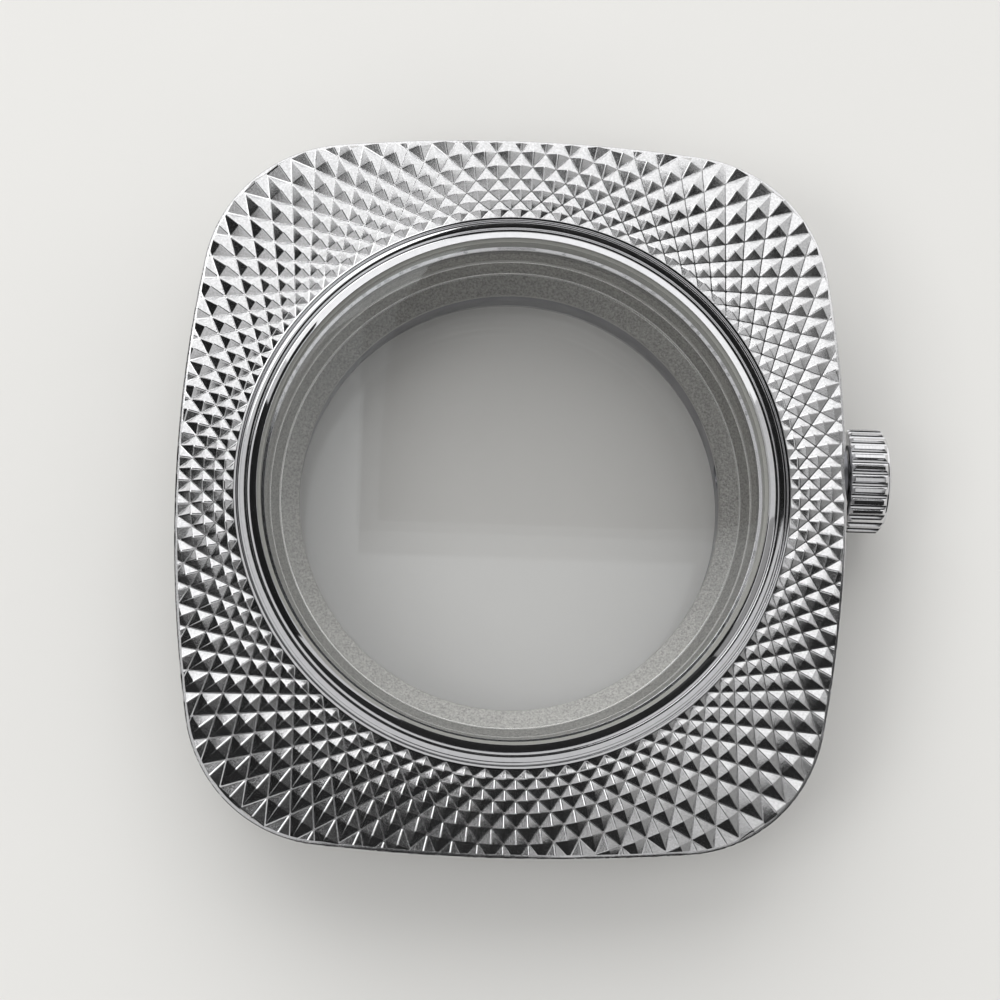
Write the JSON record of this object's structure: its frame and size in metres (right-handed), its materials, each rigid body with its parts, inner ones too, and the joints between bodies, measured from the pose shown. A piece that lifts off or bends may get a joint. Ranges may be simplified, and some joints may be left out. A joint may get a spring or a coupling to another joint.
{
  "type": "watch case",
  "caption": "Empty cushion-shaped steel watch case with an engine-turned pyramid bezel, glass front and back, a fluted pull-out crown and sprung strap bars in hidden recesses.",
  "frame": {"origin": "on the case's axis at the outer face of the back, where the case rests when it lies dial up", "axes": "+Z leaves through the front glass, +Y points to 12 o'clock, +X points to the crown's side at 3 o'clock"},
  "size_m": [0.0455, 0.0454, 0.012],
  "materials": {
    "engine_turned_steel": "stainless steel, engine-turned pyramids with finely brushed facets",
    "satin_steel": "stainless steel, satin brushed sides",
    "polished_steel": "stainless steel, mirror polished",
    "blasted_steel": "stainless steel, bead blasted",
    "crown_steel": "stainless steel, fluted and polished",
    "turned_steel": "stainless steel, as turned",
    "screw_steel": "hardened steel, slotted heads",
    "sapphire": "clear sapphire glass",
    "grey_nylon": "grey moulded nylon gasket",
    "black_rubber": "black rubber seal"
  },
  "bodies": {
    "case": {"guilloche_bezel": "engine_turned_steel", "mid_case": "satin_steel", "crystal_ring": "polished_steel", "front_crystal": "sapphire", "crystal_gasket": "grey_nylon", "inner_flange": "blasted_steel", "movement_ring": "turned_steel", "bezel_gasket": "black_rubber", "bezel_screws": "screw_steel", "crown_tube": "turned_steel", "crown_tube_gasket": "black_rubber"},
    "back": {"caseback_ring": "polished_steel", "back_crystal": "sapphire", "back_crystal_gasket": "grey_nylon", "caseback_gasket": "black_rubber", "caseback_screws": "screw_steel"},
    "crown_seal": {"crown_gasket": "black_rubber"},
    "crown": {"crown_shell": "crown_steel", "crown_cap": "crown_steel", "crown_washer": "screw_steel", "winding_stem": "turned_steel"},
    "bar_12": {"strap_bar_12_barrel": "turned_steel", "strap_bar_12_spring": "turned_steel"},
    "bar_12_left_tip": {"strap_bar_12_left_tip": "turned_steel"},
    "bar_12_right_tip": {"strap_bar_12_right_tip": "turned_steel"},
    "bar_6": {"strap_bar_6_barrel": "turned_steel", "strap_bar_6_spring": "turned_steel"},
    "bar_6_left_tip": {"strap_bar_6_left_tip": "turned_steel"},
    "bar_6_right_tip": {"strap_bar_6_right_tip": "turned_steel"}
  },
  "joints": [
    {"name": "case_lift_off", "type": "slide", "parent": "back", "child": "case", "axis": [0, 0, 1], "range_m": [0, 0.014]},
    {"name": "crown_pull", "type": "slide", "parent": "case", "child": "crown_seal", "axis": [1, 0, 0], "range_m": [0, 0.00075]},
    {"name": "crown_turn", "type": "hinge", "parent": "crown_seal", "child": "crown", "pos_m": [0.0229, 0.00225, 0.0046], "axis": [1, 0, 0], "continuous": true},
    {"name": "bar_12_spin", "type": "hinge", "parent": "case", "child": "bar_12", "pos_m": [0, 0.02105, 0.0033], "axis": [1, 0, 0], "continuous": true},
    {"name": "bar_12_left_press", "type": "slide", "parent": "bar_12", "child": "bar_12_left_tip", "axis": [1, 0, 0], "range_m": [0, 0.00085], "stiffness_N_per_m": 1000},
    {"name": "bar_12_right_press", "type": "slide", "parent": "bar_12", "child": "bar_12_right_tip", "axis": [-1, 0, 0], "range_m": [0, 0.00085], "stiffness_N_per_m": 1000},
    {"name": "bar_6_spin", "type": "hinge", "parent": "case", "child": "bar_6", "pos_m": [0, -0.02105, 0.0033], "axis": [1, 0, 0], "continuous": true},
    {"name": "bar_6_left_press", "type": "slide", "parent": "bar_6", "child": "bar_6_left_tip", "axis": [1, 0, 0], "range_m": [0, 0.00085], "stiffness_N_per_m": 1000},
    {"name": "bar_6_right_press", "type": "slide", "parent": "bar_6", "child": "bar_6_right_tip", "axis": [-1, 0, 0], "range_m": [0, 0.00085], "stiffness_N_per_m": 1000}
  ]
}
